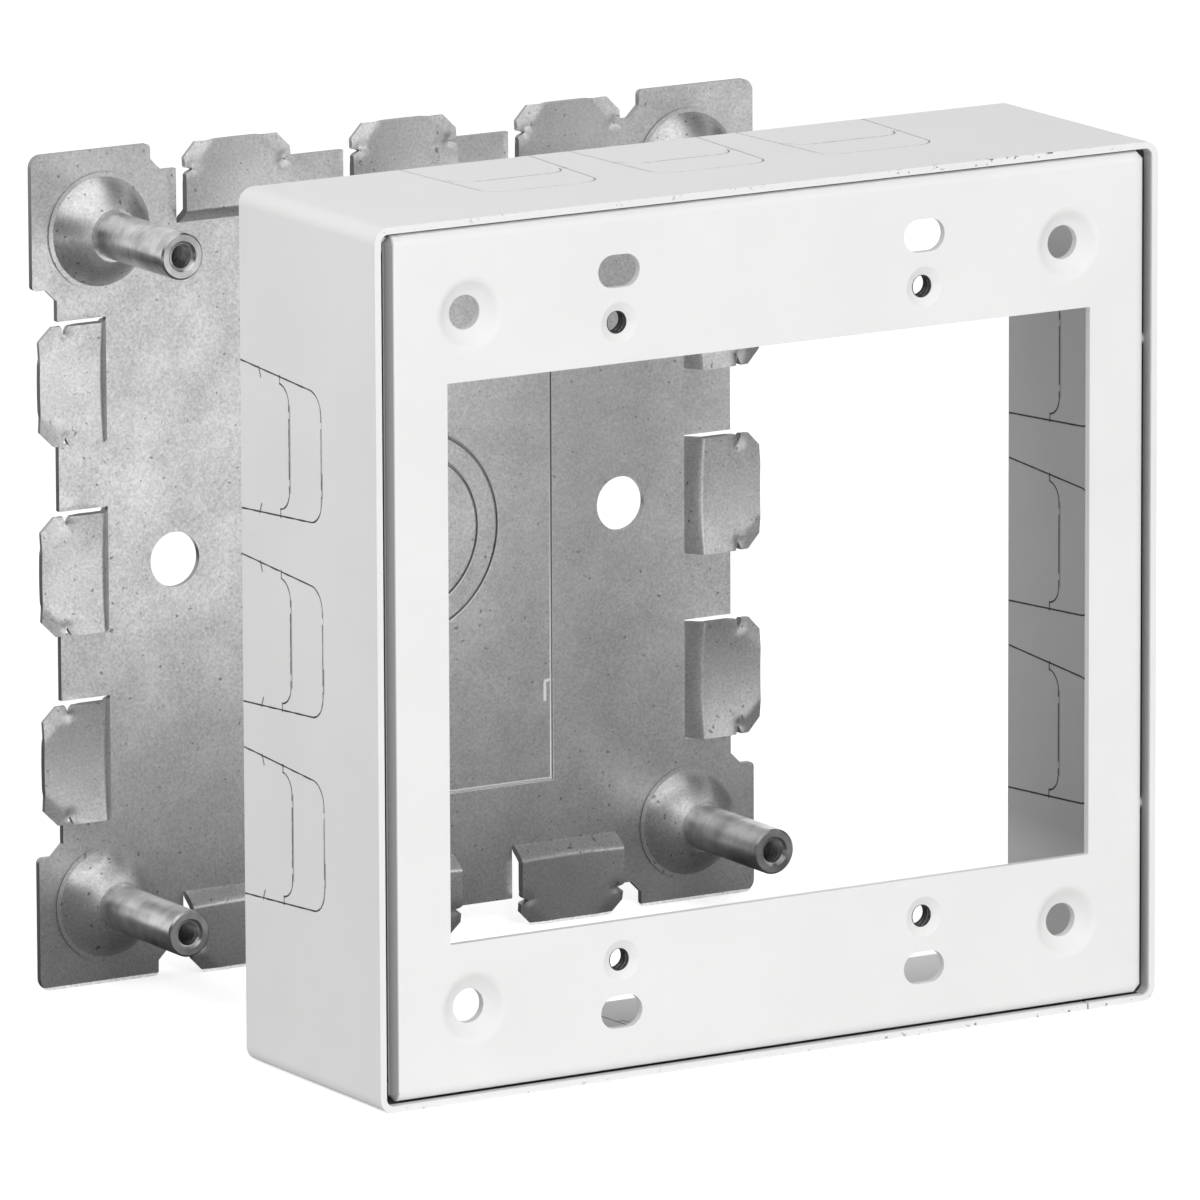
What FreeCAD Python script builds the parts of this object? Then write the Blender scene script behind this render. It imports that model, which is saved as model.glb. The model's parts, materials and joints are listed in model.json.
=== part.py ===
import FreeCAD, Part
import Sketcher
import os
import re

# Raceway outlet box for two devices: a base plate with four threaded posts, and the cover made of a
# folded side band and an inset face plate, shown taken off and standing in front of the base.
# Frame: X to the right, Y towards the wall, Z up. The origin is the middle of the base plate's back face.
# Everything in front of the wall has a negative Y.

document = FreeCAD.newDocument("RacewayOutletBox")
sheet = document.addObject("Spreadsheet::Sheet", "Sizes")

# Driving dimensions in millimetres
DIMENSIONS = {
    # base plate
    "plateWidth": 110.8,
    "plateHeight": 112.0,
    "plateSheet": 0.9,
    "lobeWidth": 17.9,
    "lobeHeight": 18.0,
    "lobeRound": 1.7,
    "lobeInnerRound": 0.7,
    "edgeSetback": 3.65,
    "notchChamfer": 1.6,
    "wallHoleSpacing": 68.8,
    "wallHole": 7.4,
    # knockouts scored into the base plate
    "scoreWide": 0.35,
    "scoreDeep": 0.4,
    "largeKnockout": 28.4,
    "smallKnockout": 22.2,
    "knockoutAcross": 1.0,
    "knockoutUp": -0.5,
    "panelWidth": 47.3,
    "panelHeight": 73.5,
    # raised tabs, three on each side
    "entryPitch": 25.4,
    "tabWidth": 16.0,
    "tabRoot": 7.3,
    "tabRampRun": 0.7,
    "tabUnderShift": 0.5,
    "tabRise": 1.75,
    "tabDish": 0.55,
    "tabSlack": 0.25,
    "tabOverlap": 0.5,
    "earLength": 4.1,
    "earNotch": 1.2,
    "earLean": 0.5,
    "earTip": 3.1,
    "earChamfer": 1.9,
    # drawn domes and their posts
    "screwInsetAcross": 10.3,
    "screwInsetUp": 10.9,
    "domeFoot": 14.8,
    "domeStep": 0.5,
    "domeStepHigh": 0.25,
    "domeSeat": 7.0,
    "domeHigh": 3.9,
    "postWide": 6.2,
    "postReach": 21.75,
    "postEdge": 0.25,
    "postBore": 3.5,
    "postBoreDeep": 13.0,
    "postMouth": 4.1,
    "shankWide": 4.3,
    "rivetWide": 5.6,
    "rivetHigh": 0.7,
    "rivetSlack": 0.05,
    # side band of the cover
    "coverWidth": 118.0,
    "coverHeight": 114.8,
    "coverDepth": 34.3,
    "coverSheet": 0.9,
    "coverBend": 2.0,
    "coverStandoff": 82.0,
    "coverAside": 7.5,
    "seamPlace": 48.5,
    "seamGap": 0.3,
    # twist-outs in the side band
    "twistReach": 20.5,
    "twistMouth": 19.8,
    "twistNose": 17.4,
    "twistRound": 3.0,
    "smallReach": 12.4,
    "smallShoulder": 2.5,
    "smallNose": 16.6,
    "smallRound": 2.6,
    "shearGap": 0.25,
    "nibWide": 0.8,
    "nibPlace": 4.4,
    # face plate of the cover
    "faceGapAside": 0.9,
    "faceGapUp": 0.3,
    "faceSheet": 1.0,
    "faceBend": 1.4,
    "flangeDepth": 7.0,
    "flangeNotch": 2.4,
    "trayCorner": 1.0,
    "openingWidth": 97.0,
    "openingHeight": 72.9,
    "gangSpacing": 46.04,
    "deviceSpacing": 83.34,
    "deviceHole": 3.0,
    "deviceDimple": 5.4,
    "deviceDimpleDeep": 0.65,
    "deviceCollar": 4.6,
    "deviceCollarHigh": 1.2,
    "slotSpacing": 96.84,
    "slotLong": 6.2,
    "slotWide": 4.3,
    "coverHole": 4.5,
    "coverDimple": 10.0,
    "coverDimpleRound": 1.5,
    "coverDimpleDeep": 1.9,
    "weldWide": 3.2,
    "weldSpacing": 62.0,
}
for row, (alias, value) in enumerate(DIMENSIONS.items(), start=1):
    sheet.set(f"A{row}", alias)
    sheet.set(f"B{row}", str(value))
    sheet.setAlias(f"B{row}", alias)
document.recompute()


def bound(words):
    """The expression with each plain name read from the sheet."""
    return re.sub(r"\b([a-z][A-Za-z]+)\b(?!\()", r"Sizes.\1", words)


def value(words):
    return float(sheet.evalExpression(bound(words)))


def bind(thing, **expressions):
    for name, words in expressions.items():
        thing.setExpression(name.replace("__", "."), bound(words))


def add(kind, name, **properties):
    thing = document.addObject(kind, name)
    for key, item in properties.items():
        setattr(thing, key, item)
    return thing


# Sketches: every corner and centre is tied to the sheet by its own two distances

def tie(sketch, kind, index, point, words):
    number = sketch.addConstraint(
        Sketcher.Constraint(kind, -1, 1, index, point, value(words)))
    sketch.setExpression(f"Constraints[{number}]", bound(words))


def drawPolygon(sketch, corners):
    first = sketch.GeometryCount
    count = len(corners)
    places = [FreeCAD.Vector(value(across), value(up), 0) for across, up in corners]
    for index in range(count):
        sketch.addGeometry(Part.LineSegment(places[index], places[(index + 1) % count]), False)
    for index in range(count):
        following = first + (index + 1) % count
        sketch.addConstraint(Sketcher.Constraint("Coincident", first + index, 2, following, 1))
    for index, (across, up) in enumerate(corners):
        tie(sketch, "DistanceX", first + index, 1, across)
        tie(sketch, "DistanceY", first + index, 1, up)


def drawCircle(sketch, across, up, radius):
    place = FreeCAD.Vector(value(across), value(up), 0)
    index = sketch.addGeometry(Part.Circle(place, FreeCAD.Vector(0, 0, 1), value(radius)), False)
    tie(sketch, "DistanceX", index, 3, across)
    tie(sketch, "DistanceY", index, 3, up)
    number = sketch.addConstraint(Sketcher.Constraint("Radius", index, value(radius)))
    sketch.setExpression(f"Constraints[{number}]", bound(radius))


def fill(sketch, polygons, circles):
    for corners in polygons:
        drawPolygon(sketch, corners)
    for across, up, radius in circles:
        drawCircle(sketch, across, up, radius)
    return sketch


def bodySketch(body, name, plane, polygons=(), circles=(), shift=None):
    sketch = body.newObject("Sketcher::SketchObject", name)
    planes = [item for item in body.Origin.OriginFeatures if item.Role == plane]
    sketch.AttachmentSupport = [(planes[0], "")]
    sketch.MapMode = "FlatFace"
    for axis, words in (shift or {}).items():
        sketch.setExpression(f"AttachmentOffset.Base.{axis}", bound(words))
    return fill(sketch, polygons, circles)


def freeSketch(name, turn, polygons=(), circles=()):
    sketch = add("Sketcher::SketchObject", name, Placement=FreeCAD.Placement(FreeCAD.Vector(), turn))
    return fill(sketch, polygons, circles)


FRONT = FreeCAD.Rotation(FreeCAD.Vector(1, 0, 0), 90)      # local up is Z, local normal is -Y
LEVEL = FreeCAD.Rotation()                                 # local up is Y, local normal is Z


def rectangle(halfWide, halfHigh, across="0", up="0"):
    return [
        (f"{across} - ({halfWide})", f"{up} - ({halfHigh})"),
        (f"{across} + ({halfWide})", f"{up} - ({halfHigh})"),
        (f"{across} + ({halfWide})", f"{up} + ({halfHigh})"),
        (f"{across} - ({halfWide})", f"{up} + ({halfHigh})"),
    ]


# Body features

def newBody(label):
    body = add("PartDesign::Body", label)
    body.Label = label
    return body


def feature(body, kind, name, sketch, **expressions):
    made = body.newObject(kind, name)
    made.Profile = sketch
    bind(made, **expressions)
    return made


def pad(body, sketch, length, backwards=False, midplane=False):
    made = feature(body, "PartDesign::Pad", sketch.Name + "Pad", sketch, Length=length)
    made.Reversed = backwards
    made.Midplane = midplane
    document.recompute()
    return made


def pocket(body, sketch, length, backwards=False, midplane=False):
    before = body.Shape.Volume
    made = feature(body, "PartDesign::Pocket", sketch.Name + "Pocket", sketch, Length=length)
    made.Reversed = backwards
    made.Midplane = midplane
    document.recompute()
    assert body.Shape.Volume < before, f"{sketch.Name} cut nothing"
    return made


def turned(body, sketch, kind="PartDesign::Revolution"):
    made = feature(body, kind, sketch.Name + "Turned", sketch)
    made.ReferenceAxis = (sketch, ["V_Axis"])
    made.Angle = 360.0
    document.recompute()
    return made


def edgesAlongY(shape, places, reach=0.2):
    """Names of the straight edges along Y that stand at one of the given places in X and Z."""
    names = []
    for number, edge in enumerate(shape.Edges, start=1):
        box = edge.BoundBox
        upright = box.XLength < 1e-4 and box.ZLength < 1e-4 and box.YLength > 0.1
        if upright and any(abs(box.XMin - x) < reach and abs(box.ZMin - z) < reach for x, z in places):
            names.append(f"Edge{number}")
    return names


def filletEdges(body, name, edges, radius):
    assert edges, f"{name} found no edges"
    base = body.Tip
    made = body.newObject("PartDesign::Fillet", name)
    made.Base = (base, edges)
    bind(made, Radius=radius)
    document.recompute()
    return made


def roundEdges(body, name, places, radius):
    return filletEdges(body, name, edgesAlongY(body.Tip.Shape, places), radius)


SIGNS = [(-1, 1), (1, 1), (-1, -1), (1, -1)]
CORNER_NAMES = {(-1, 1): "TopLeft", (1, 1): "TopRight", (-1, -1): "BottomLeft", (1, -1): "BottomRight"}


def signed(sign, words):
    return words if sign > 0 else f"-({words})"


# Base plate: sheet with four lobes, a setback edge between them and chamfered notches

halfWide = "plateWidth / 2"
halfHigh = "plateHeight / 2"
lobeX = "(plateWidth / 2 - lobeWidth)"
lobeZ = "(plateHeight / 2 - lobeHeight)"
edgeX = "(plateWidth / 2 - edgeSetback)"
edgeZ = "(plateHeight / 2 - edgeSetback)"
QUARTER = [
    (edgeX, f"{lobeZ} - notchChamfer"),
    (f"{edgeX} + notchChamfer", lobeZ),
    (halfWide, lobeZ),
    (halfWide, halfHigh),
    (lobeX, halfHigh),
    (lobeX, f"{edgeZ} + notchChamfer"),
    (f"{lobeX} - notchChamfer", edgeZ),
]


def wholeOutline(quarter):
    """The quarter's corners carried round all four quadrants, anticlockwise."""
    corners = []
    for signX, signZ in ((1, 1), (-1, 1), (-1, -1), (1, -1)):
        ordered = quarter if signX * signZ > 0 else quarter[::-1]
        corners += [(signed(signX, x), signed(signZ, z)) for x, z in ordered]
    return corners


plate = newBody("plate_sheet")
pad(plate, bodySketch(plate, "PlateOutline", "XZ_Plane", [wholeOutline(QUARTER)]), "plateSheet")
outerCorners = [(sx * value(halfWide), sz * value(halfHigh)) for sx, sz in SIGNS]
lobeCorners = [(sx * value(halfWide), sz * value(lobeZ)) for sx, sz in SIGNS]
lobeCorners += [(sx * value(lobeX), sz * value(halfHigh)) for sx, sz in SIGNS]
roundEdges(plate, "LobeRounds", outerCorners, "lobeRound")
roundEdges(plate, "LobeInnerRounds", lobeCorners, "lobeInnerRound")

# Wall holes, and the windows left behind by the raised tabs
wallHoles = [(f"{side}wallHoleSpacing / 2", "0", "wallHole / 2") for side in ("", "-")]
pocket(plate, bodySketch(plate, "WallHoles", "XZ_Plane", circles=wallHoles), "plateSheet * 3", midplane=True)
STEPS = (-1, 0, 1)
windows = []
windowHalf = "tabWidth / 2 + tabSlack"
for step in STEPS:
    shift = f"{step} * entryPitch"
    for side in (1, -1):
        windows.append(rectangle("tabRoot", windowHalf, signed(side, edgeX), shift))
        windows.append(rectangle(windowHalf, "tabRoot", shift, signed(side, edgeZ)))
pocket(plate, bodySketch(plate, "TabWindows", "XZ_Plane", windows), "plateSheet * 3", midplane=True)

# Knockouts: two round ones and one panel, scored into the front face
ringPlaces = ("knockoutAcross", "knockoutUp")
for name, size in (("LargeKnockout", "largeKnockout"), ("SmallKnockout", "smallKnockout")):
    rings = [(*ringPlaces, f"{size} / 2"), (*ringPlaces, f"{size} / 2 - scoreWide")]
    score = bodySketch(plate, name, "XZ_Plane", circles=rings, shift={"z": "plateSheet"})
    pocket(plate, score, "scoreDeep")
panel = [
    rectangle("panelWidth / 2", "panelHeight / 2"),
    rectangle("panelWidth / 2 - scoreWide", "panelHeight / 2 - scoreWide"),
]
pocket(plate, bodySketch(plate, "PanelKnockout", "XZ_Plane", panel, shift={"z": "plateSheet"}), "scoreDeep")


# Solids made of primitives: cylinders and cones along Y, boxes and booleans of them

ALONG_Y = FreeCAD.Rotation(FreeCAD.Vector(1, 0, 0), -90)    # turns a primitive's own Z into Y


def place(thing, x="0", y="0", z="0"):
    bind(thing, Placement__Base__x=x, Placement__Base__y=y, Placement__Base__z=z)
    return thing


def cylinder(name, radius, start, length):
    thing = add("Part::Cylinder", name, Placement=FreeCAD.Placement(FreeCAD.Vector(), ALONG_Y))
    bind(thing, Radius=radius, Height=length)
    return place(thing, y=start)


def cone(name, firstRadius, secondRadius, start, length):
    thing = add("Part::Cone", name, Placement=FreeCAD.Placement(FreeCAD.Vector(), ALONG_Y))
    bind(thing, Radius1=firstRadius, Radius2=secondRadius, Height=length)
    return place(thing, y=start)


def box(name, low, size):
    thing = add("Part::Box", name)
    bind(thing, Length=size[0], Width=size[1], Height=size[2])
    return place(thing, *low)


def fuse(name, *things):
    return add("Part::MultiFuse", name, Shapes=list(things))


def common(name, *things):
    return add("Part::MultiCommon", name, Shapes=list(things))


def cut(name, base, tool):
    return add("Part::Cut", name, Base=base, Tool=tool)


def extrude(name, sketch, forward, backward="0"):
    thing = add("Part::Extrusion", name, Base=sketch, DirMode="Normal", Solid=True)
    bind(thing, LengthFwd=forward, LengthRev=backward)
    return thing


def copyOf(thing, name, x="0", z="0", quarterTurns=0):
    """A link to a finished solid, turned about Y by quarter turns and moved in the wall's plane."""
    turn = FreeCAD.Rotation(FreeCAD.Vector(0, 1, 0), -90 * quarterTurns)
    link = add("App::Link", name, LinkedObject=thing, LinkTransform=True)
    link.Placement = FreeCAD.Placement(FreeCAD.Vector(), turn)
    return place(link, x=x, z=z)


def atFourCorners(thing, name, acrossHalf, upHalf):
    return [
        copyOf(thing, name + CORNER_NAMES[sx, sz], signed(sx, acrossHalf), signed(sz, upHalf))
        for sx, sz in SIGNS
    ]


# Domes: a spherical zone drawn out of the sheet, with a stepped foot, a flat seat and a shank hole.
# The sphere's centre lies behind the sheet, at the depth that joins the foot circle to the seat circle.

domeDepth = "((domeFoot^2 / 4 - domeSeat^2 / 4 - domeHigh^2) / (2 * domeHigh))"
domeRadius = f"sqrt(domeFoot^2 / 4 + {domeDepth}^2)"


def domeBall(name, radius, front, back):
    """The part of a ball between two levels, both measured along Y."""
    ball = add("Part::Sphere", name + "Ball")
    bind(ball, Radius=radius)
    place(ball, y=f"{domeDepth} - plateSheet")
    slab = box(name + "Slab", ("-domeFoot", front, "-domeFoot"),
               ("2 * domeFoot", f"{back} - ({front})", "2 * domeFoot"))
    return common(name, ball, slab)


domeOuter = domeBall("DomeOuter", domeRadius, "-plateSheet - domeHigh", "-plateSheet / 2")
domeStepRing = cylinder("DomeStep", "domeFoot / 2 + domeStep", "-plateSheet - domeStepHigh",
                        "plateSheet / 2 + domeStepHigh")
domeForm = fuse("DomeForm", domeOuter, domeStepRing)
domeInner = domeBall("DomeInner", f"{domeRadius} - plateSheet", "-domeHigh", "plateSheet")
shankHole = cylinder("ShankHole", "shankWide / 2 + rivetSlack", "-plateSheet - 2 * domeHigh", "3 * domeHigh")
domeHollow = fuse("DomeHollow", domeInner, shankHole)
screwX = "(plateWidth / 2 - screwInsetAcross)"
screwZ = "(plateHeight / 2 - screwInsetUp)"
domes = atFourCorners(domeForm, "Dome", screwX, screwZ)
hollows = atFourCorners(domeHollow, "Hollow", screwX, screwZ)

# One raised tab, seen from its root at the origin: its length runs along X, its width along Z.
# Its upper face is the lower of a ramp and a dished strip; its lower face is the same pair moved
# back by the sheet's thickness. The plan view then cuts the neck, the ears and their chamfers.

tabLength = "(tabRoot + edgeSetback)"
tabHalf = "tabWidth / 2"


def tabRegion(name, shiftOut, shiftBack):
    """Everything behind the tab's upper face, moved outwards and backwards."""
    floor = "8 * plateSheet"
    start = f"{shiftOut} - 2 * tabOverlap"
    past = f"{tabLength} + 2 * tabOverlap"
    rise = f"-plateSheet - tabRise - tabDish * 2 + {shiftBack}"
    ramp = [
        (start, f"-plateSheet + {shiftBack}"),
        (shiftOut, f"-plateSheet + {shiftBack}"),
        (f"{shiftOut} + tabRampRun * (tabRise + tabDish * 2) / tabRise", rise),
        (past, rise),
        (past, floor),
        (start, floor),
    ]
    rampSolid = extrude(name + "Ramp", freeSketch(name + "RampSketch", LEVEL, [ramp]), "tabWidth", "tabWidth")
    top = f"-plateSheet - tabRise + {shiftBack}"
    back = box(name + "Back", ("-tabWidth", f"{top} - 2 * tabDish", "-tabWidth"),
               ("4 * tabWidth", floor, "2 * tabWidth"))
    # The dish is a cylinder whose lowest line runs along the tab's length
    dishRadius = "(tabWidth^2 / 4 + tabDish^2) / (2 * tabDish)"
    dish = add("Part::Cylinder", name + "Dish")
    dish.Placement = FreeCAD.Placement(FreeCAD.Vector(), FreeCAD.Rotation(FreeCAD.Vector(0, 1, 0), 90))
    bind(dish, Radius=dishRadius, Height="4 * tabWidth")
    place(dish, x="-tabWidth", y=f"{top} - {dishRadius}")
    return common(name, rampSolid, cut(name + "Dished", back, dish))


tabUpper = tabRegion("TabUpper", "0", "0")
tabLower = tabRegion("TabLower", "tabUnderShift", "plateSheet")
halfPlan = [
    ("-tabOverlap", tabHalf),
    (f"{tabLength} - earLength", tabHalf),
    (f"{tabLength} - earLength + earLean", f"{tabHalf} - earNotch"),
    (f"{tabLength} - earTip", tabHalf),
    (tabLength, f"{tabHalf} - earChamfer"),
]
tabPlan = [(x, f"-({z})") for x, z in halfPlan] + halfPlan[::-1]
tabOutline = extrude("TabOutline", freeSketch("TabPlan", FRONT, [tabPlan]), "4 * tabWidth", "4 * tabWidth")
tabShape = common("TabShape", cut("TabStrip", tabUpper, tabLower), tabOutline)
tabs = []
rootX = f"{edgeX} - tabRoot"
rootZ = f"{edgeZ} - tabRoot"
for step in STEPS:
    along = f"{step} * entryPitch"
    sides = [(rootX, along), (along, rootZ), (f"-({rootX})", along), (along, f"-({rootZ})")]
    for turns, (x, z) in enumerate(sides):
        tabs.append(copyOf(tabShape, f"Tab{turns}_{step + 2}", x, z, turns))

plateFused = fuse("PlateFused", plate, *domes, *tabs)
basePlate = cut("BasePlate", plateFused, fuse("PlateHollows", *hollows))
basePlate.Label = "base_plate"

# Posts: a turned stud with a threaded bore, riveted through the dome's seat

postTip = "(-plateSheet - postReach)"
seat = "(-plateSheet - domeHigh)"
posts = []
for sx, sz in SIGNS:
    corner = CORNER_NAMES[sx, sz]
    post = newBody("Post" + corner)
    words = re.sub(r"(?<!^)([A-Z])", r"_\1", corner).lower()
    post.Label = "post_" + words
    section = [
        ("0", f"{seat} + plateSheet + rivetHigh"),
        ("rivetWide / 2 - rivetHigh / 2", f"{seat} + plateSheet + rivetHigh"),
        ("rivetWide / 2", f"{seat} + plateSheet + rivetHigh / 2"),
        ("rivetWide / 2", f"{seat} + plateSheet"),
        ("shankWide / 2", f"{seat} + plateSheet"),
        ("shankWide / 2", seat),
        ("postWide / 2", seat),
        ("postWide / 2", f"{postTip} + postEdge"),
        ("postWide / 2 - postEdge", postTip),
        ("0", postTip),
    ]
    turned(post, bodySketch(post, f"Section{corner}", "XY_Plane", [section]))
    mouthDeep = "(postMouth - postBore) / 2"
    bore = [
        ("0", f"{postTip} - postEdge"),
        ("postMouth / 2", f"{postTip} - postEdge"),
        ("postMouth / 2", postTip),
        ("postBore / 2", f"{postTip} + {mouthDeep}"),
        ("postBore / 2", f"{postTip} + postBoreDeep"),
        ("0", f"{postTip} + postBoreDeep + postBore / 4"),
    ]
    turned(post, bodySketch(post, f"Bore{corner}", "XY_Plane", [bore]), "PartDesign::Groove")
    place(post, x=signed(sx, screwX), z=signed(sz, screwZ))
    posts.append(post)

# Cover, drawn round its own middle with its face at Y = 0 and its back rim at Y = coverDepth

coverHalfX = "coverWidth / 2"
coverHalfZ = "coverHeight / 2"
innerHalfX = "(coverWidth / 2 - coverSheet)"
innerHalfZ = "(coverHeight / 2 - coverSheet)"


def onWall(thing):
    """Moves a finished cover piece to where it stands in front of the base plate."""
    return place(thing, "coverAside", "-plateSheet - coverStandoff", "coverHeight / 2 - plateHeight / 2")


# Side band: one strip folded into a rectangle, butted at a seam in the bottom wall
band = newBody("BandFold")
loops = [rectangle(coverHalfX, coverHalfZ), rectangle(innerHalfX, innerHalfZ)]
pad(band, bodySketch(band, "BandSection", "XZ_Plane", loops), "coverDepth", backwards=True)
outerBends = [(sx * value(coverHalfX), sz * value(coverHalfZ)) for sx, sz in SIGNS]
innerBends = [(sx * value(innerHalfX), sz * value(innerHalfZ)) for sx, sz in SIGNS]
roundEdges(band, "BandBends", outerBends, "coverBend")
roundEdges(band, "BandInnerBends", innerBends, "coverBend - coverSheet")
seamCut = rectangle("seamGap / 2", "2 * coverSheet", "seamPlace", f"-({coverHalfZ})")
pocket(band, bodySketch(band, "Seam", "XZ_Plane", [seamCut]), "coverDepth * 3", midplane=True)

# Twist-outs: an outline open at the back rim, sheared through the wall and held by two nibs, with a
# smaller outline of the same kind inside it. The rounded outline is a sharp one grown by its radius.


def shearRing(name, nose, mouth, reach, radius):
    """A slit of the shear's width that follows the outline, through both opposite walls."""
    front = f"coverDepth - {reach}"
    slope = f"(({mouth}) - ({nose})) / 2 / {reach}"
    half = f"({nose}) / 2 - {radius}"
    wide = f"{half} + {slope} * ({reach} + twistReach)"
    corners = [
        (f"-({half})", f"{front} + {radius}"),
        (half, f"{front} + {radius}"),
        (wide, "coverDepth + twistReach"),
        (f"-({wide})", "coverDepth + twistReach"),
    ]
    sketch = freeSketch(name + "Sketch", LEVEL, [corners])
    grown = []
    for side, amount in (("Outer", f"{radius}"), ("Inner", f"{radius} - shearGap")):
        outline = add("Part::Offset2D", name + side, Source=sketch, Fill=False)
        bind(outline, Value=amount)
        grown.append(extrude(name + side + "Solid", outline, "coverWidth", "coverWidth"))
    return cut(name, *grown)


def acrossBox(name, x, front, wide, deep):
    return box(name, (x, front, "-coverWidth"), (wide, deep, "2 * coverWidth"))


largeFront = "coverDepth - twistReach"
smallFront = "coverDepth - smallReach"
largeRing = shearRing("LargeTwist", "twistNose", "twistMouth", "twistReach", "twistRound")
smallRing = shearRing("SmallTwist", "smallNose", "smallNose", "smallReach", "smallRound")
smallTop = acrossBox("SmallTop", "-twistMouth", f"{smallFront} - smallShoulder",
                     "2 * twistMouth", "2 * smallShoulder")
smallArc = common("SmallArc", smallRing, smallTop)
shoulders = []
nibs = []
shoulderSide = "twistMouth / 2 - (twistMouth - twistNose) / 2 * (smallReach - smallShoulder) / twistReach"
for side, word in ((1, "Right"), (-1, "Left")):
    reachOut = f"({shoulderSide} - smallNose / 2 + shearGap)"
    low = "smallNose / 2 - shearGap" if side > 0 else f"-(smallNose / 2 - shearGap) - {reachOut}"
    shoulderFront = f"{smallFront} + smallShoulder - shearGap"
    shoulders.append(acrossBox("Shoulder" + word, low, shoulderFront, reachOut, "shearGap"))
    for ring, front in (("Large", largeFront), ("Small", smallFront)):
        nibLow = f"{side} * nibPlace - nibWide / 2"
        nibs.append(acrossBox(f"Nib{ring}{word}", nibLow, f"{front} - shearGap", "nibWide", "3 * shearGap"))
twistOut = cut("TwistOut", fuse("TwistSlits", largeRing, smallArc, *shoulders), fuse("Nibs", *nibs))
twistOuts = []
for step in STEPS:
    along = f"{step} * entryPitch"
    twistOuts.append(copyOf(twistOut, f"TwistUpright{step + 2}", x=along))
    twistOuts.append(copyOf(twistOut, f"TwistLevel{step + 2}", z=along, quarterTurns=1))
coverBand = cut("CoverBand", band, fuse("AllTwistOuts", *twistOuts))
coverBand.Label = "cover_band"
onWall(coverBand)

# Face plate: a shallow tray with its edges folded back, notched at the corners and spot-welded
# to the band through small raised projections

faceHalfX = f"({innerHalfX} - faceGapAside)"
faceHalfZ = f"({innerHalfZ} - faceGapUp)"
tray = newBody("FaceTray")
faceQuarter = [(faceHalfX, f"{faceHalfZ} - trayCorner"), (f"{faceHalfX} - trayCorner", faceHalfZ)]
trayOutline = bodySketch(tray, "TrayOutline", "XZ_Plane", [wholeOutline(faceQuarter)])
pad(tray, trayOutline, "flangeDepth", backwards=True)
rimEdges = [
    f"Edge{number}" for number, edge in enumerate(tray.Tip.Shape.Edges, start=1)
    if edge.BoundBox.YLength < 1e-4 and abs(edge.BoundBox.YMin) < 1e-4
]
filletEdges(tray, "TrayBend", rimEdges, "faceBend")
hollow = rectangle(f"{faceHalfX} - faceSheet", f"{faceHalfZ} - faceSheet")
hollowSketch = bodySketch(tray, "TrayHollow", "XZ_Plane", [hollow], shift={"z": "-faceSheet"})
pocket(tray, hollowSketch, "flangeDepth * 2")
cornerCuts = []
for sx, sz in SIGNS:
    cornerCuts.append(rectangle("flangeNotch", "flangeNotch", signed(sx, faceHalfX), signed(sz, faceHalfZ)))
cornerSketch = bodySketch(tray, "FlangeNotches", "XZ_Plane", cornerCuts, shift={"z": "-faceBend"})
pocket(tray, cornerSketch, "flangeDepth * 2")
opening = [rectangle("openingWidth / 2", "openingHeight / 2")]
pocket(tray, bodySketch(tray, "DeviceOpening", "XZ_Plane", opening), "flangeDepth * 3", midplane=True)

# Corner dimples: a ball-shaped bowl whose rim rolls over a ring of its own radius, so that the two
# surfaces meet without an edge. The bowl's radius follows from the rim's circle and the depth.
bowlRadius = "((coverDimple^2 / 4 / coverDimpleDeep + coverDimpleDeep) / 2 - coverDimpleRound)"
bowlMiddle = f"(coverDimpleDeep - {bowlRadius})"
meeting = f"({bowlRadius} / ({bowlRadius} + coverDimpleRound))"
meetingDeep = f"({bowlMiddle} + (coverDimpleRound - {bowlMiddle}) * {meeting})"


def bowl(name, growth, front, back):
    """The part of the bowl's ball between two levels."""
    ball = add("Part::Sphere", name + "Ball")
    bind(ball, Radius=f"{bowlRadius} + {growth}")
    place(ball, y=bowlMiddle)
    slab = box(name + "Slab", ("-coverDimple", front, "-coverDimple"),
               ("2 * coverDimple", f"{back} - ({front})", "2 * coverDimple"))
    return common(name, ball, slab)


dimpleForm = bowl("DimpleForm", "faceSheet", "faceSheet / 2", "coverDimpleDeep + faceSheet")
dimpleBowl = bowl("DimpleBowl", "0", "-faceSheet", "coverDimpleDeep")
rimDisc = cylinder("RimDisc", "coverDimple / 2", "-faceSheet", f"faceSheet + {meetingDeep}")
rimRing = add("Part::Torus", "RimRing", Placement=FreeCAD.Placement(FreeCAD.Vector(), ALONG_Y))
bind(rimRing, Radius1="coverDimple / 2", Radius2="coverDimpleRound")
place(rimRing, y="coverDimpleRound")
dimpleHole = cylinder("DimpleHole", "coverHole / 2", "-flangeDepth", "3 * flangeDepth")
dimpleCut = fuse("DimpleCut", dimpleBowl, cut("RimCut", rimDisc, rimRing), dimpleHole)
collarForm = cylinder("CollarForm", "deviceCollar / 2", "faceSheet / 2", "faceSheet / 2 + deviceCollarHigh")
collarBowl = cone("CollarBowl", "deviceDimple / 2", "deviceHole / 2", "0", "deviceDimpleDeep")
collarHole = cylinder("CollarHole", "deviceHole / 2", "-flangeDepth", "3 * flangeDepth")
collarCut = fuse("CollarCut", collarBowl, collarHole)
slotEnds = [
    cylinder(f"SlotEnd{word}", "slotWide / 2", "-flangeDepth", "3 * flangeDepth") for word in ("Left", "Right")
]
place(slotEnds[0], x="-(slotLong - slotWide) / 2", y="-flangeDepth")
place(slotEnds[1], x="(slotLong - slotWide) / 2", y="-flangeDepth")
slotMiddle = box("SlotMiddle", ("-(slotLong - slotWide) / 2", "-flangeDepth", "-slotWide / 2"),
                 ("slotLong - slotWide", "3 * flangeDepth", "slotWide"))
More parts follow.
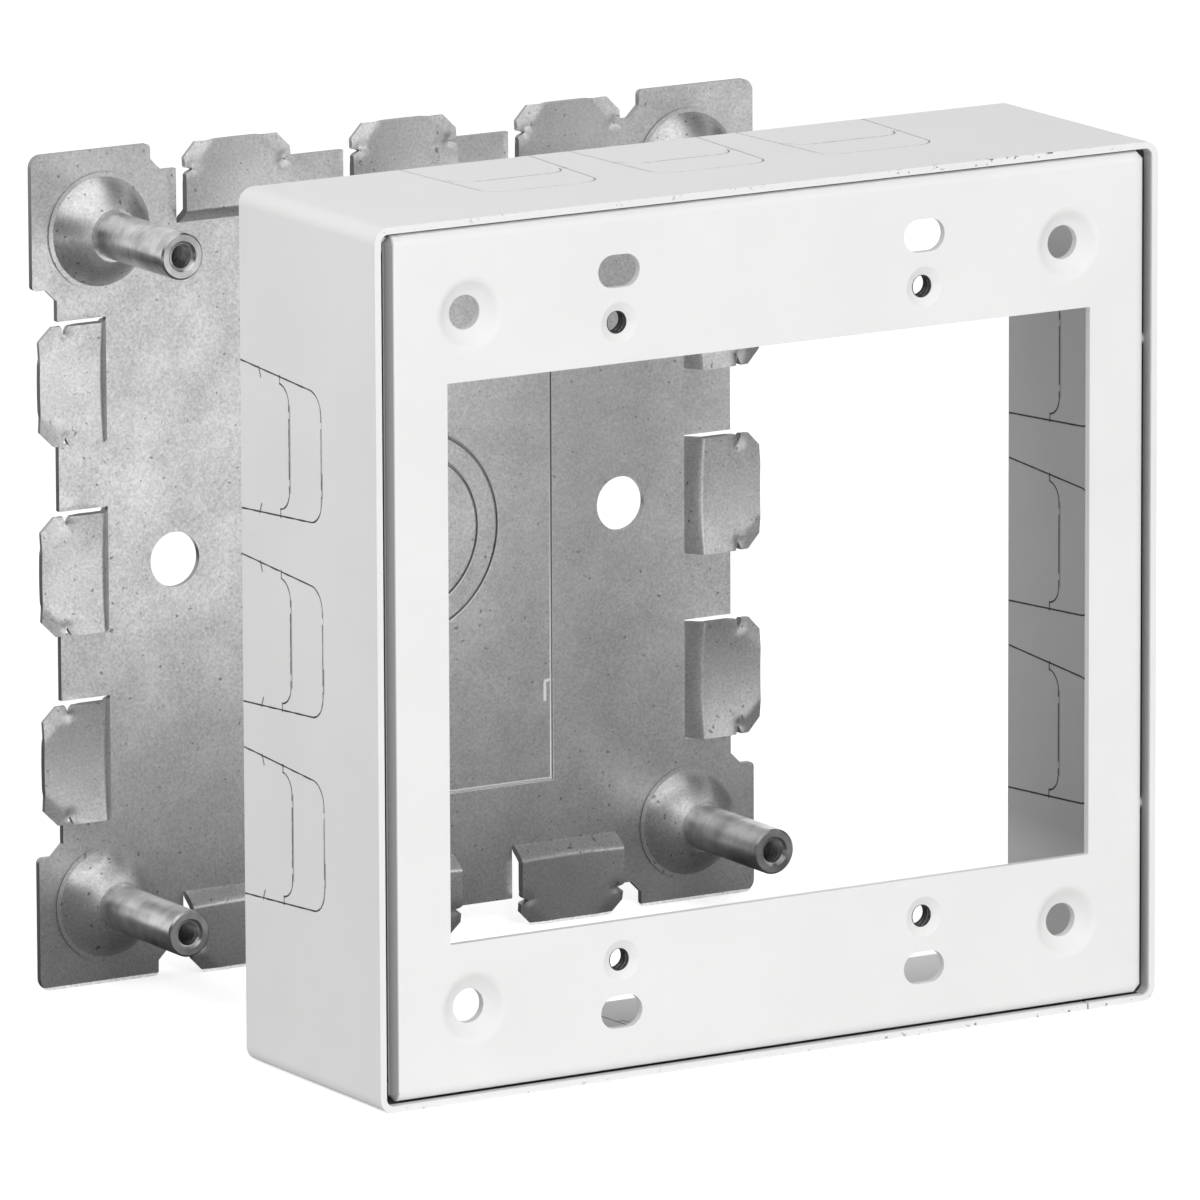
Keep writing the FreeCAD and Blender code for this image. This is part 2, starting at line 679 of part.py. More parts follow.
slotCut = fuse("SlotCut", *slotEnds, slotMiddle)
welds = []
for side in (1, -1):
    for step in (-0.5, 0.5):
        level = add("Part::Cylinder", f"WeldSide{side + 2}{int(step * 2 + 2)}")
        level.Placement.Rotation = FreeCAD.Rotation(FreeCAD.Vector(0, 1, 0), 90 * side)
        bind(level, Radius="weldWide / 2", Height="faceGapAside + faceSheet / 2")
        place(level, signed(side, f"{faceHalfX} - faceSheet / 2"), "flangeDepth / 2", f"{step} * weldSpacing")
        upright = add("Part::Cylinder", f"WeldEnd{side + 2}{int(step * 2 + 2)}")
        upright.Placement.Rotation = FreeCAD.Rotation(FreeCAD.Vector(1, 0, 0), 90 - 90 * side)
        bind(upright, Radius="weldWide / 2", Height="faceGapUp + faceSheet / 2")
        place(upright, f"{step} * weldSpacing", "flangeDepth / 2", signed(side, f"{faceHalfZ} - faceSheet / 2"))
        welds += [level, upright]
gangHalf = "gangSpacing / 2"
forms = atFourCorners(dimpleForm, "Dimple", screwX, screwZ)
forms += atFourCorners(collarForm, "Collar", gangHalf, "deviceSpacing / 2")
openings = atFourCorners(dimpleCut, "CoverHole", screwX, screwZ)
openings += atFourCorners(collarCut, "DeviceHole", gangHalf, "deviceSpacing / 2")
openings += atFourCorners(slotCut, "DeviceSlot", gangHalf, "slotSpacing / 2")
faceFused = fuse("FaceFused", tray, *forms, *welds)
facePlate = cut("FacePlate", faceFused, fuse("FaceOpenings", *openings))
facePlate.Label = "face_plate"
onWall(facePlate)

document.recompute()

nodes = [basePlate, *posts, coverBand, facePlate]
failed = [item.Label for item in document.Objects if {"Invalid", "Error"} & set(item.State)]
assert not failed, f"failed: {failed}"
for node in nodes:
    shape = node.Shape
    assert not shape.isNull() and shape.isValid(), f"{node.Label} is not a valid shape"
    print(f"{node.Label}: {len(shape.Solids)} solid, {shape.Volume:.1f} mm3, {shape.BoundBox}")
os.makedirs("parts", exist_ok=True)
for node in nodes:
    node.Shape.exportStep(f"parts/{node.Label}.step")
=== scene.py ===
import json

import bmesh
import bpy
import numpy as np
from mathutils import Euler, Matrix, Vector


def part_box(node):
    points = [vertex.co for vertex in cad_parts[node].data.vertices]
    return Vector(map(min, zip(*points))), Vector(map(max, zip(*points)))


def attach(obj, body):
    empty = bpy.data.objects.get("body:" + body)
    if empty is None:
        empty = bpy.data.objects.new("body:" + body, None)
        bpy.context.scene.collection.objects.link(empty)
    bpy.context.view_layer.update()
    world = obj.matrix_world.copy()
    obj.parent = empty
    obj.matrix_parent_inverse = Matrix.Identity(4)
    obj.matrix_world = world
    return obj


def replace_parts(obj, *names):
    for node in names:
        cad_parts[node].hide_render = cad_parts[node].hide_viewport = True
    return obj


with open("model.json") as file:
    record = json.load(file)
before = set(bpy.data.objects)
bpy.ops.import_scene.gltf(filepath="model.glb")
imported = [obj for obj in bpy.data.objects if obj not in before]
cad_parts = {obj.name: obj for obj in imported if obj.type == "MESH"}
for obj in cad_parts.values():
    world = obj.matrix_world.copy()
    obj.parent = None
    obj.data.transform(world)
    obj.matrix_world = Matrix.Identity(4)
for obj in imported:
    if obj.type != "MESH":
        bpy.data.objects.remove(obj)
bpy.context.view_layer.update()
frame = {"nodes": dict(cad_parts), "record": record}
print("frame loaded:", ", ".join(sorted(frame["nodes"])))

mm = 0.001

# Node helpers


def newMaterial(name):
    material = bpy.data.materials.new(name)
    material.use_nodes = True
    tree = material.node_tree
    return material, tree, tree.nodes["Principled BSDF"]


def addNode(tree, kind, inputs=None, **settings):
    node = tree.nodes.new(kind)
    for key, value in settings.items():
        setattr(node, key, value)
    for key, value in (inputs or {}).items():
        if hasattr(value, "is_output"):
            tree.links.new(value, node.inputs[key])
        else:
            node.inputs[key].default_value = value
    return node


def math(tree, operation, first, second=0.0, clamp=False):
    node = addNode(tree, "ShaderNodeMath", {0: first, 1: second}, operation=operation, use_clamp=clamp)
    return node.outputs[0]


def minus(tree, value, length):
    # A value less a length in mm.
    return math(tree, "SUBTRACT", value, length * mm)


def unsigned(tree, value):
    return math(tree, "ABSOLUTE", value)


def larger(tree, first, second):
    return math(tree, "MAXIMUM", first, second)


def allOf(tree, masks):
    product = masks[0]
    for mask in masks[1:]:
        product = math(tree, "MULTIPLY", product, mask)
    return product


def vectorMath(tree, operation, first, second=(0, 0, 0), output="Vector"):
    return addNode(tree, "ShaderNodeVectorMath", {0: first, 1: second}, operation=operation).outputs[output]


def lengthOf(tree, vector):
    return vectorMath(tree, "LENGTH", vector, output="Value")


def flatLength(tree, across, upward):
    flat = addNode(tree, "ShaderNodeCombineXYZ", {"X": across, "Y": upward})
    return lengthOf(tree, flat.outputs["Vector"])


def rise(tree, value, low, high, bottom=0.0, top=1.0):
    node = addNode(tree, "ShaderNodeMapRange", {
        "Value": value, "From Min": low, "From Max": high, "To Min": bottom, "To Max": top})
    return node.outputs["Result"]


def ramp(tree, value, low, high, bottom=0.0, top=1.0):
    # A rise between two lengths in mm.
    return rise(tree, value, low * mm, high * mm, bottom, top)


def objectPlace(tree, stretch=(1, 1, 1)):
    coordinates = addNode(tree, "ShaderNodeTexCoord")
    mapping = addNode(tree, "ShaderNodeMapping", {"Vector": coordinates.outputs["Object"]})
    mapping.inputs["Scale"].default_value = stretch
    return mapping.outputs["Vector"]


def axesOf(tree, place):
    return addNode(tree, "ShaderNodeSeparateXYZ", {"Vector": place}).outputs


def blendColour(tree, factor, first, second):
    node = addNode(tree, "ShaderNodeMix", data_type="RGBA")
    tree.links.new(factor, node.inputs["Factor"])
    for socket, colour in (("A", first), ("B", second)):
        if hasattr(colour, "is_output"):
            tree.links.new(colour, node.inputs[socket])
        else:
            node.inputs[socket].default_value = (*colour, 1.0)
    return node.outputs["Result"]


def bumped(tree, shader, height, strength, distance, normal=None):
    bump = addNode(tree, "ShaderNodeBump", {"Height": height, "Strength": strength, "Distance": distance})
    if normal:
        tree.links.new(normal, bump.inputs["Normal"])
    tree.links.new(bump.outputs["Normal"], shader.inputs["Normal"])
    return bump.outputs["Normal"]


# Effects that several finishes share

grainInputs = ("Cloud Scale", "Grain Scale", "Speck Scale", "Speck Share")
speckSoftness = 0.05


def makeGrainGroup():
    # Cloud is a slow noise, Grain a fine one, and Specks the dark ends of a third noise.
    group = bpy.data.node_groups.new("grain", "ShaderNodeTree")
    face = group.interface
    face.new_socket("Place", in_out="INPUT", socket_type="NodeSocketVector")
    for word in grainInputs:
        face.new_socket(word, in_out="INPUT", socket_type="NodeSocketFloat")
    for word in ("Cloud", "Grain", "Specks"):
        face.new_socket(word, in_out="OUTPUT", socket_type="NodeSocketFloat")
    given = group.nodes.new("NodeGroupInput")
    result = group.nodes.new("NodeGroupOutput")
    noises = {}
    for word, detail, roughness in (("Cloud", 3.0, 0.55), ("Grain", 5.0, 0.7), ("Speck", 2.0, 0.5)):
        noises[word] = addNode(group, "ShaderNodeTexNoise", {
            "Vector": given.outputs["Place"], "Scale": given.outputs[word + " Scale"],
            "Detail": detail, "Roughness": roughness}).outputs["Fac"]
    share = given.outputs["Speck Share"]
    specks = rise(group, noises["Speck"], share, math(group, "SUBTRACT", share, speckSoftness))
    group.links.new(noises["Cloud"], result.inputs["Cloud"])
    group.links.new(noises["Grain"], result.inputs["Grain"])
    group.links.new(specks, result.inputs["Specks"])
    return group


def makeStreakGroup():
    # The mask is 1 on the straight line between two points and fades to 0 at the given distance from it.
    group = bpy.data.node_groups.new("streak", "ShaderNodeTree")
    face = group.interface
    for word in ("Place", "From", "To"):
        face.new_socket(word, in_out="INPUT", socket_type="NodeSocketVector")
    face.new_socket("Reach", in_out="INPUT", socket_type="NodeSocketFloat")
    face.new_socket("Mask", in_out="OUTPUT", socket_type="NodeSocketFloat")
    given = group.nodes.new("NodeGroupInput")
    result = group.nodes.new("NodeGroupOutput")
    line = vectorMath(group, "SUBTRACT", given.outputs["To"], given.outputs["From"])
    away = vectorMath(group, "SUBTRACT", given.outputs["Place"], given.outputs["From"])
    along = vectorMath(group, "DOT_PRODUCT", away, line, output="Value")
    length = vectorMath(group, "DOT_PRODUCT", line, line, output="Value")
    share = math(group, "DIVIDE", along, length, clamp=True)
    foot = addNode(group, "ShaderNodeVectorMath", {0: line, "Scale": share}, operation="SCALE")
    distance = lengthOf(group, vectorMath(group, "SUBTRACT", away, foot.outputs["Vector"]))
    group.links.new(rise(group, distance, given.outputs["Reach"], 0.0), result.inputs["Mask"])
    return group


grainGroup = makeGrainGroup()
streakGroup = makeStreakGroup()


def grain(tree, place, *settings):
    # The settings are the three scales and the share of specks.
    values = dict(zip(grainInputs, settings), Place=place)
    return addNode(tree, "ShaderNodeGroup", values, node_tree=grainGroup).outputs


def streaks(tree, place, lines, reach):
    # The strongest of several streaks.
    mask = None
    for start, end in lines:
        node = addNode(tree, "ShaderNodeGroup", {"Place": place, "Reach": reach * mm}, node_tree=streakGroup)
        node.inputs["From"].default_value = np.array(start) * mm
        node.inputs["To"].default_value = np.array(end) * mm
        mask = node.outputs["Mask"] if mask is None else larger(tree, mask, node.outputs["Mask"])
    return mask


# White enamel of the cover; the narrow gap round the face plate gets painted shade, grey and then black with
# depth

cover = {
    "middle": (7.5, 1.4),            # X and Z of the cover's middle, mm
    "front": -82.9,
    "back": -48.6,
    "half": (59.0, 57.4),
    "sheet": 0.9,
    "inner": 58.15,                  # inner side of the right wall, from the middle
    "screws": (45.1, 45.1),
    "dimple": 5.0,
}
gap = {
    "from": (57.15, 56.15),          # where the gap starts, from the middle
    "wide": (1.1, 0.5),
    "deep": 7.2,
    "start": (0.25, 0.5),            # depths over which its own colours set in
    "coatEnds": (1.1, 1.3),          # depths over which the painted shade turns black
    "deeperRight": 0.8,              # the painted black starts deeper at the right
}
enamel = {
    "light": (0.88, 0.88, 0.875),
    "dull": (0.85, 0.85, 0.845),
    "inside": (0.60, 0.60, 0.598),   # painted shade on the right wall's inner side
    # painted shade on the face plate's folded edge in the left gap
    "bend": (0.30, 0.30, 0.30),
    # near black for the sheared ticks, and painted shade deep in the gap
    "bareAndGapShade": (0.04, 0.04, 0.042),
    "gapWall": (0.86, 0.86, 0.86),
    # painted shade on the gap's right wall
    "gapRightShade": (0.56, 0.56, 0.56),
    "line": (0.3, 0.3, 0.3),
    "chip": (0.14, 0.14, 0.14),
    "grain": (45.0, 1100.0, 1300.0, 0.36),
    "roughness": (0.32, 0.44),
    "specular": 0.4,
    "bump": (0.2, 0.02 * mm),
    "tickReach": 0.22,
}
insideEnds = {"right": (50.0, 51.0), "corner": (38.0, 43.0), "cornerShare": 0.3, "depth": (1.05, 1.3)}
chipEnds = {"rim": 0.75, "depth": (1.3, 0.2), "across": (0.0, 30.0), "leftShare": 0.3}
twistPitch = 25.4
ticks = {"half": 9.5, "fromBack": 4.7, "run": (0.5, 1.2), "openBit": (4.9, 1.9)}
fronts = [
    {"depth": 13.675, "half": 5.9, "wide": 0.1, "strength": 0.5},
    {"depth": 21.775, "half": 5.9, "wide": 0.2, "strength": 0.75},
]
topShare = 0.6                       # strength of the front lines on the top wall


def twistTicks():
    # On the left wall: short sheared ticks that run inwards from both sides of each twist-out, and the
    # stretch of its front line that stands open.
    x = cover["middle"][0] - cover["half"][0]
    y = cover["back"] - ticks["fromBack"]
    front = cover["front"] + fronts[0]["depth"]
    lines = []
    for step in (1, 0, -1):
        middle = cover["middle"][1] + step * twistPitch
        for side in (1, -1):
            z = middle + side * ticks["half"]
            lines.append(((x, y, z), (x, y - ticks["run"][0], z - side * ticks["run"][1])))
        low, high = ticks["openBit"]
        lines.append(((x, front, middle - low), (x, front, middle - high)))
    return lines


def fromMiddle(tree, place):
    # Signed distances along X and Z from the cover's middle, and depth behind its front.
    axes = axesOf(tree, place)
    across = minus(tree, axes["X"], cover["middle"][0])
    upward = minus(tree, axes["Z"], cover["middle"][1])
    return across, upward, minus(tree, axes["Y"], cover["front"])


def gapMask(tree, across, upward, depth):
    # 1 between the face plate and the band, behind the edges of both.
    overX = minus(tree, unsigned(tree, across), gap["from"][0])
    overZ = minus(tree, unsigned(tree, upward), gap["from"][1])
    pastX = minus(tree, overX, gap["wide"][0])
    pastZ = minus(tree, overZ, gap["wide"][1])
    return allOf(tree, [
        ramp(tree, larger(tree, overX, overZ), -0.02, 0.0),
        ramp(tree, larger(tree, pastX, pastZ), 0.0, -0.1),
        ramp(tree, depth, *gap["start"]),
        ramp(tree, depth, gap["deep"], gap["deep"] - 0.3)])


# Painted shade in the gap: its white wall turns grey at the right and black past a depth.
def gapShadeColours(tree, across, depth):
    onRight = ramp(tree, across, gap["from"][0], gap["from"][0] + 0.1)
    colour = blendColour(tree, onRight, enamel["gapWall"], enamel["gapRightShade"])
    shadeDepth = math(tree, "SUBTRACT", depth, math(tree, "MULTIPLY", onRight, gap["deeperRight"] * mm))
    return blendColour(tree, ramp(tree, shadeDepth, *gap["coatEnds"]), colour, enamel["bareAndGapShade"])


def insideShadeMask(tree, across, upward, depth):
    # 1 on the right wall's inner side and on the flange beside it, but not in the dished screw places: the
    # place of its painted shade, which fades towards the corners.
    toEdge = unsigned(tree, upward)
    screwX, screwZ = cover["screws"]
    toScrew = flatLength(tree, minus(tree, across, screwX), minus(tree, toEdge, screwZ))
    return allOf(tree, [
        ramp(tree, across, *insideEnds["right"]),
        ramp(tree, across, cover["inner"] + 0.02, cover["inner"] - 0.02),
        ramp(tree, toEdge, cover["half"][1] - 0.5, cover["half"][1] - 0.6),
        ramp(tree, toScrew, cover["dimple"] - 0.2, cover["dimple"]),
        ramp(tree, toEdge, *insideEnds["corner"], 1.0, insideEnds["cornerShare"]),
        ramp(tree, depth, *insideEnds["depth"])])


def bendShadeMask(tree, across, upward, depth):
    # 1 on the folded edge of the face plate that looks into the left gap, where shade is painted.
    return allOf(tree, [
        ramp(tree, across, 1.1 - gap["from"][0], 0.75 - gap["from"][0]),
        ramp(tree, across, -cover["inner"], 0.1 - cover["inner"]),
        ramp(tree, unsigned(tree, upward), gap["from"][1], gap["from"][1] - 0.1),
        ramp(tree, depth, 0.05, 0.1)])


def chipMask(tree, specks, across, upward, depth):
    # Specks along the front rims of the top and bottom walls, fewer at the left.
    overZ = minus(tree, unsigned(tree, upward), cover["half"][1] - chipEnds["rim"])
    return allOf(tree, [
        specks, ramp(tree, overZ, 0.0, 0.2), ramp(tree, depth, *chipEnds["depth"]),
        ramp(tree, across, *chipEnds["across"], chipEnds["leftShare"], 1.0)])


def frontLines(tree, across, upward, depth):
    # Thin lines along the straight fronts of the twist-outs, also over their nibs: the distance along the
    # wall is folded round the middle of each twist-out. The small outlines draw darker and wider than the
    # large ones.
    onSide = ramp(tree, unsigned(tree, across), cover["inner"] - 0.3, cover["inner"] - 0.2)
    notOnSide = math(tree, "SUBTRACT", 1.0, onSide)
    along = math(tree, "ADD", math(tree, "MULTIPLY", onSide, upward),
                 math(tree, "MULTIPLY", notOnSide, across))
    folded = math(tree, "PINGPONG", along, twistPitch * mm / 2)
    masks = []
    for line in fronts:
        toLine = unsigned(tree, minus(tree, depth, line["depth"]))
        masks.append(allOf(tree, [
            ramp(tree, toLine, line["wide"], line["wide"] * 0.6, 0.0, line["strength"]),
            ramp(tree, folded, line["half"], line["half"] - 0.3)]))
    inRow = ramp(tree, unsigned(tree, along), 1.5 * twistPitch, 1.49 * twistPitch)
    onTop = ramp(tree, upward, cover["half"][1] - 0.5, cover["half"][1] - 0.4, 1.0, topShare)
    return allOf(tree, [larger(tree, *masks), inRow, onTop])


def makeEnamel():
    material, tree, shader = newMaterial("whiteEnamel")
    place = objectPlace(tree)
    marks = grain(tree, place, *enamel["grain"])
    spot = fromMiddle(tree, place)
    across, upward, depth = spot
    colour = blendColour(tree, rise(tree, marks["Cloud"], 0.35, 0.65), enamel["dull"], enamel["light"])
    layers = [
        # painted shade on the right wall's inner side
        (insideShadeMask(tree, *spot), enamel["inside"]),
        # painted shade on the folded edge in the left gap
        (bendShadeMask(tree, *spot), enamel["bend"]),
        (chipMask(tree, marks["Specks"], *spot), enamel["chip"]),
        (streaks(tree, place, twistTicks(), enamel["tickReach"]), enamel["bareAndGapShade"]),
        (frontLines(tree, *spot), enamel["line"]),
        # painted shade in the gap round the face plate
        (gapMask(tree, *spot), gapShadeColours(tree, across, depth)),
    ]
    for mask, tone in layers:
        colour = blendColour(tree, mask, colour, tone)
    tree.links.new(colour, shader.inputs["Base Color"])
    tree.links.new(rise(tree, marks["Cloud"], 0.0, 1.0, *enamel["roughness"]), shader.inputs["Roughness"])
    shader.inputs["Specular IOR Level"].default_value = enamel["specular"]
    bumped(tree, shader, marks["Grain"], *enamel["bump"])
    return material


# Galvanised sheet of the base plate

zinc = {
    "pale": (0.95, 0.95, 0.955),
    "grey": (0.60, 0.60, 0.605),
    "cut": (0.34, 0.34, 0.345),
    "pit": (0.15, 0.15, 0.15),
    "pitShare": 0.7,
    "scratch": (0.92, 0.92, 0.92),
    # painted highlight along the pressed lines
    "wornAndHighlight": (1.0, 1.0, 1.0),
    "metallic": 0.9,
    "grain": (140.0, 2600.0, 1100.0, 0.33),
    "grainShare": 0.7,
    "roughness": (0.44, 0.31),
    "bump": (0.35, 0.03 * mm),
    "stepBump": (1.0, 0.25 * mm),
    "scratchReach": 0.16,
    "scratches": [
        ((12.3, -0.9, 19.0), (8.5, -0.9, 12.2)),
        ((12.1, -0.9, 13.5), (10.9, -0.9, 11.9)),
        ((7.7, -0.9, -31.2), (15.4, -0.9, -28.5)),
        ((11.5, -0.9, 23.5), (9.0, -0.9, 20.0)),
    ],
    "nibReach": 0.35,
    "nib": [((22.5, -0.9, -23.0), (23.6, -0.9, -22.9)), ((22.4, -0.9, -23.2), (22.4, -0.9, -25.6))],
}
# Distances from the outline, mm; front is the stretch of Y over which a mark sets in.
ring = {
    "middle": (1.0, -0.5),
    "radii": (14.2, 11.1),
    "step": (-0.08, 0.18),
    "darkAt": -0.24,
    "darkReach": (0.14, 0.08),
    "lightAt": 0.05,
    "lightReach": (0.16, 0.1),
    "lightShare": 0.75,
    "front": (-0.8, -0.85),
}
panelScore = {"half": (23.65, 36.75), "at": -0.2, "reach": (0.28, 0.22), "front": (-0.3, -0.5)}


def scoreMasks(tree, place):
    # All follow the signed distance from an outline. A ring's circle is dark, and beside it the sheet rises
    # in a soft step with a painted highlight. The panel's score, the larger distance from its sides, and the
    # nib streaks carry a painted highlight all over.
    axes = axesOf(tree, place)
    front = ramp(tree, axes["Y"], *ring["front"])
    middleX, middleZ = ring["middle"]
    radius = flatLength(tree, minus(tree, axes["X"], middleX), minus(tree, axes["Z"], middleZ))
    step = trace = highlight = 0.0
    for size in ring["radii"]:
        over = minus(tree, radius, size)
        step = math(tree, "ADD", step, ramp(tree, over, *ring["step"]))
        dark = unsigned(tree, minus(tree, over, ring["darkAt"]))
        light = unsigned(tree, minus(tree, over, ring["lightAt"]))
        trace = larger(tree, trace, ramp(tree, dark, *ring["darkReach"]))
        highlight = larger(tree, highlight, ramp(tree, light, *ring["lightReach"], 0.0, ring["lightShare"]))
    overX = minus(tree, unsigned(tree, axes["X"]), panelScore["half"][0])
    overZ = minus(tree, unsigned(tree, axes["Z"]), panelScore["half"][1])
    toPanel = unsigned(tree, minus(tree, larger(tree, overX, overZ), panelScore["at"]))
    score = allOf(tree, [
        ramp(tree, toPanel, *panelScore["reach"]), ramp(tree, axes["Y"], *panelScore["front"])])
    nib = streaks(tree, place, zinc["nib"], zinc["nibReach"])
    highlight = larger(tree, math(tree, "MULTIPLY", highlight, front), larger(tree, score, nib))
    return math(tree, "MULTIPLY", step, front), trace, highlight


def blended(tree, first, second, share):
    # The sum of two noises in which the second has the given share.
    return math(tree, "ADD", math(tree, "MULTIPLY", first, 1 - share), math(tree, "MULTIPLY", second, share))


def makeZinc():
    material, tree, shader = newMaterial("galvanisedZinc")
    place = objectPlace(tree)
    marks = grain(tree, place, *zinc["grain"])
    blend = blended(tree, marks["Cloud"], marks["Grain"], zinc["grainShare"])
    scratched = streaks(tree, place, zinc["scratches"], zinc["scratchReach"])
    step, trace, highlight = scoreMasks(tree, place)
    colour = blendColour(tree, rise(tree, blend, 0.36, 0.64), zinc["grey"], zinc["pale"])
    layers = [
        (math(tree, "MULTIPLY", marks["Specks"], zinc["pitShare"]), zinc["pit"]),
        (math(tree, "MULTIPLY", scratched, marks["Grain"]), zinc["scratch"]),
        (trace, zinc["pit"]),
        # painted highlight along the pressed lines
        (highlight, zinc["wornAndHighlight"]),
        (addNode(tree, "ShaderNodeAttribute", attribute_name="cutFace").outputs["Fac"], zinc["cut"]),
    ]
    for mask, tone in layers:
        colour = blendColour(tree, mask, colour, tone)
    tree.links.new(colour, shader.inputs["Base Color"])
    # the sheet turns into white non-metal where the highlight is painted
    tree.links.new(rise(tree, highlight, 0.0, 1.0, zinc["metallic"], 0.0), shader.inputs["Metallic"])
    tree.links.new(rise(tree, blend, 0.35, 0.65, *zinc["roughness"]), shader.inputs["Roughness"])
    edged = bumped(tree, shader, step, *zinc["stepBump"])
    bumped(tree, shader, blend, *zinc["bump"], edged)
    return material


# Turned steel of the posts

turnedSteel = {
    "bright": (0.84, 0.84, 0.845),
    "dark": (0.5, 0.5, 0.51),
    "rings": (60.0, 3000.0, 60.0),           # the noise is stretched into rings round Y
    "grain": (250.0, 2600.0, 900.0, 0.3),
    "cloudShare": 0.8,
    "roughness": (0.24, 0.4),
    "bump": (0.15, 0.02 * mm),
}


def makeTurned():
    material, tree, shader = newMaterial("turnedSteel")
    stretched = objectPlace(tree, stretch=turnedSteel["rings"])
    rings = addNode(tree, "ShaderNodeTexNoise", {
        "Vector": stretched, "Scale": 1.0, "Detail": 2.0}).outputs["Fac"]
    marks = grain(tree, objectPlace(tree), *turnedSteel["grain"])
    blend = blended(tree, rings, marks["Cloud"], turnedSteel["cloudShare"])
    colour = blendColour(tree, rise(tree, blend, 0.38, 0.6), turnedSteel["dark"], turnedSteel["bright"])
    tree.links.new(colour, shader.inputs["Base Color"])
    shader.inputs["Metallic"].default_value = 1.0
    roughness = rise(tree, marks["Grain"], 0.2, 0.8, *turnedSteel["roughness"])
    tree.links.new(roughness, shader.inputs["Roughness"])
    bumped(tree, shader, rings, *turnedSteel["bump"])
    return material


# Bare sheared steel in the cracks and in the cut threads, drawn near black as painted shade

bareSteelShade = {
    "dark": (0.03, 0.03, 0.032),
    "wornAndHighlight": (0.12, 0.12, 0.125),
    "grain": (900.0, 4000.0, 2000.0, 0.3),
    "roughness": 0.6,
    "bump": (0.3, 0.02 * mm),
}


def makeBareShade():
    material, tree, shader = newMaterial("bareSteelPaintedShade")
    marks = grain(tree, objectPlace(tree), *bareSteelShade["grain"])
    colour = blendColour(tree, rise(tree, marks["Grain"], 0.4, 0.7), bareSteelShade["dark"], bareSteelShade["wornAndHighlight"])
    tree.links.new(colour, shader.inputs["Base Color"])
    shader.inputs["Roughness"].default_value = bareSteelShade["roughness"]
    bumped(tree, shader, marks["Grain"], *bareSteelShade["bump"])
    return material


finishes = {
    "white_paint": makeEnamel(),
    "galvanised_sheet": makeZinc(),
    "plated_post": makeTurned(),
}
bareShadeFinish = makeBareShade()
for part in frame["record"]["subparts"]:
    node = frame["nodes"][part["node"]]
    node.data.materials.clear()
    node.data.materials.append(finishes[part["material_slot"]])
print("finishes set on", len(frame["nodes"]), "nodes")

# Surfaces worked out on grids


def gridFaces(rows, columns, wrapRows=False, wrapColumns=False):
    # Quads between neighbouring points of a grid, closed round where asked.
    row = np.arange(rows if wrapRows else rows - 1)[:, None]
    column = np.arange(columns if wrapColumns else columns - 1)[None, :]
    nextRow, nextColumn = (row + 1) % rows, (column + 1) % columns
    corners = [row * columns + column, row * columns + nextColumn,
               nextRow * columns + nextColumn, nextRow * columns + column]
    return np.stack([corner.ravel() for corner in corners], axis=1)


def facingOut(points, faces):
    # The quads turned so that the volume they enclose is positive.
    a, b, c, d = (points[faces[:, k]] for k in range(4))
    volume = np.einsum("ij,ij->i", a, np.cross(b, c)).sum() + np.einsum("ij,ij->i", a, np.cross(c, d)).sum()
    return faces if volume > 0 else faces[:, ::-1]


def addPiece(name, points, faces, finish, sharp=35.0):
    mesh = bpy.data.meshes.new(name)
    mesh.from_pydata((points * mm).tolist(), [], faces.tolist())
    mesh.shade_smooth()
    mesh.set_sharp_from_angle(angle=np.radians(sharp))
    mesh.materials.append(finish)
    piece = bpy.data.objects.new(name, mesh)
    bpy.context.scene.collection.objects.link(piece)
    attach(piece, "root")
    print(name, "made with", len(faces), "faces")
    return piece


def towardsWall(mesh):
    # The size of each face normal's part along Y: 1 on level faces, 0 on faces square to the sheet.
    normals = np.empty(len(mesh.polygons) * 3)
    mesh.polygons.foreach_get("normal", normals)
    return np.abs(normals.reshape(-1, 3)[:, 1])


def markCuts(piece, steepest):
    # Faces that stand nearly upright to the sheet are its sheared edges.
    upright = (towardsWall(piece.data) < steepest).astype(float)
    piece.data.attributes.new("cutFace", "FLOAT", "FACE").data.foreach_set("value", upright)
    return piece


def joined(parts):
    # Several meshes put into one list of points and one list of faces.
    starts = np.cumsum([0] + [len(points) for points, faces in parts[:-1]])
    points = np.concatenate([points for points, faces in parts])
    faces = np.concatenate([faces + start for (_, faces), start in zip(parts, starts)])
    return points, faces


# Entry tabs: sheet lanced on three sides, raised by a soft bend and dished across its width.
# Its two outer corners are creased and bent back towards the wall behind a pinched notch.

plate = {
    "half": (55.4, 56.0),
    "setback": 3.65,
    "sheet": 0.9,
    "sharp": 32.0,
    "level": 0.9999,                 # faces whose normal's part along Y is larger are level
    "slack": 0.001,
}
tab = {
    "half": 8.0,
    "root": 7.3,
    "pitch": 25.4,
    "rise": 1.75,
    "dish": 0.6,
    "bendRun": 1.9,
    "bendEase": 1.35,
    "notch": (4.1, 3.6, 3.1),        # start, bottom and end of the notch, from the tip
    "notchDeep": 1.2,
    "chamfer": 1.9,
    "crease": (0.66, 0.75),          # how the crease leans along and across the tab
    "earBend": 0.3,
    "earSoft": 0.25,
    "dent": 0.3,
    "dentReach": 0.5,
    "columns": 41,
    "crowding": 0.35,                # how far the columns crowd towards the sides
    "sharp": 50.0,
    "steepest": 0.3,                 # sheared edges have a smaller part along Y
}


